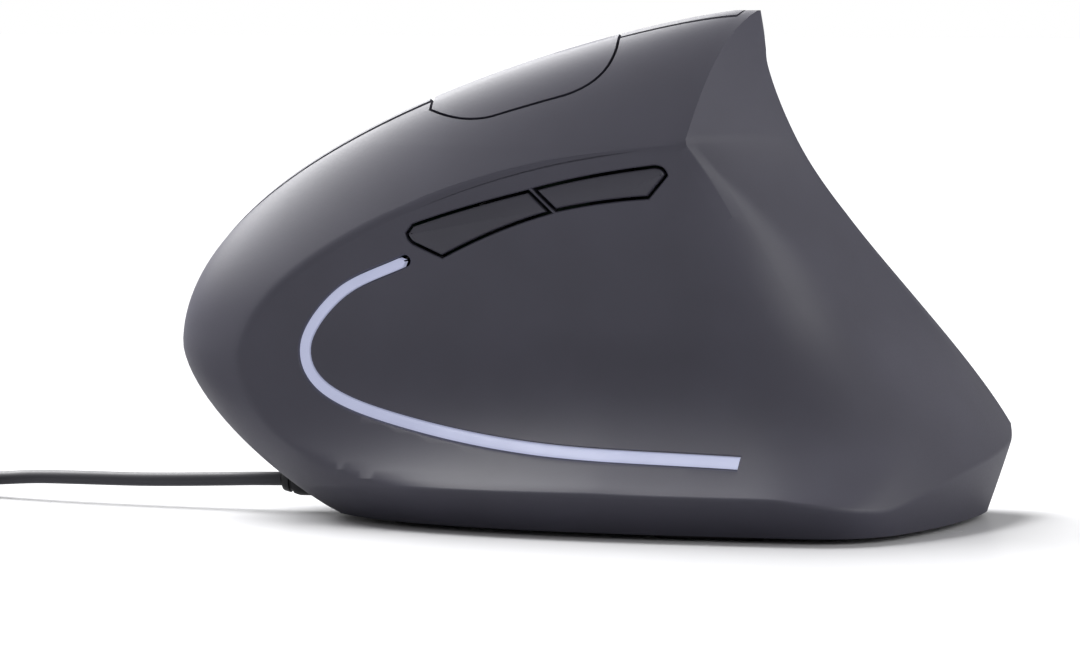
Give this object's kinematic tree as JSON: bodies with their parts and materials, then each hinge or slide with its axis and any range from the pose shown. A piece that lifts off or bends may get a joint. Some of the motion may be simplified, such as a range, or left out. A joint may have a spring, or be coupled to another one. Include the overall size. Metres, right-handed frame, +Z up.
{
  "type": "computer mouse",
  "caption": "Right-handed vertical computer mouse with a hollow thumb face, side buttons, scroll wheel, light strip and USB cable.",
  "frame": {"origin": "on the table under the middle of the mouse body", "axes": "-X towards the nose and cable, -Y out of the thumb side, +Z up"},
  "size_m": [0.1993, 0.0842, 0.0744],
  "materials": {
    "shell": "satin moulded ABS",
    "button": "soft satin ABS",
    "light_pipe": "frosted acrylic",
    "foot": "smooth PTFE",
    "steel": "plated steel",
    "board": "solder mask",
    "clear": "clear acrylic",
    "chip": "moulded epoxy",
    "white": "nylon",
    "gloss": "polished ABS",
    "tyre": "ribbed rubber",
    "lead": "matt PVC"
  },
  "bodies": {
    "root": {"thumb_shell": "shell", "palm_shell": "shell", "light_strip": "light_pipe", "base_plate": "button", "front_foot": "foot", "rear_thumb_foot": "foot", "rear_finger_foot": "foot", "base_screw_1": "steel", "base_screw_2": "steel", "base_screw_3": "steel", "main_board": "board", "sensor_lens": "clear", "sensor_chip": "chip", "sensor_lamp": "clear", "controller_chip": "chip", "cable_socket": "white", "button_board": "board", "thumb_board": "board", "dpi_board": "board", "wheel_encoder": "chip", "strain_relief": "lead", "cable": "lead", "cable_coil": "lead", "coil_tie": "foot", "usb_overmould": "lead", "usb_shell": "steel", "usb_tongue": "white", "left_click_switch": "chip", "right_click_switch": "chip", "forward_switch": "chip", "back_switch": "chip", "middle_click_switch": "chip", "dpi_switch": "chip"},
    "left_click": {"left_click_plate": "shell", "left_click_plunger": "white"},
    "right_click": {"right_click_plate": "shell", "right_click_plunger": "white"},
    "forward": {"forward_button": "button", "forward_plunger": "white"},
    "back": {"back_button": "button", "back_plunger": "white"},
    "dpi": {"dpi_button": "shell", "dpi_plunger": "white"},
    "wheel_carrier": {"wheel_frame": "gloss", "wheel_axle": "steel", "middle_click_plunger": "white"},
    "wheel": {"wheel_hub": "gloss", "wheel_tyre": "tyre"}
  },
  "joints": [
    {"name": "left_click_press", "type": "hinge", "parent": "root", "child": "left_click", "pos_m": [-0.0182, 0.00769, 0.05224], "axis": [-0.4168, -0.5942, 0.6879], "range_deg": [0, 0.6], "stiffness_Nm_per_rad": 0.6},
    {"name": "right_click_press", "type": "hinge", "parent": "root", "child": "right_click", "pos_m": [-0.01438, 0.01864, 0.03784], "axis": [-0.4168, -0.5942, 0.6879], "range_deg": [0, 0.6], "stiffness_Nm_per_rad": 0.5},
    {"name": "forward_press", "type": "slide", "parent": "root", "child": "forward", "axis": [0, 1, 0], "range_m": [0, 0.0005], "stiffness_N_per_m": 300},
    {"name": "back_press", "type": "slide", "parent": "root", "child": "back", "axis": [0, 1, 0], "range_m": [0, 0.0005], "stiffness_N_per_m": 300},
    {"name": "dpi_press", "type": "slide", "parent": "root", "child": "dpi", "axis": [0, 0.8575, -0.5145], "range_m": [0, 0.0004], "stiffness_N_per_m": 300},
    {"name": "wheel_press", "type": "slide", "parent": "root", "child": "wheel_carrier", "axis": [0.244, -0.8021, -0.5451], "range_m": [0, 0.0005], "stiffness_N_per_m": 600},
    {"name": "wheel_spin", "type": "hinge", "parent": "wheel_carrier", "child": "wheel", "pos_m": [-0.03117, 0.00798, 0.03591], "axis": [-0.4168, -0.5942, 0.6879], "continuous": true}
  ]
}
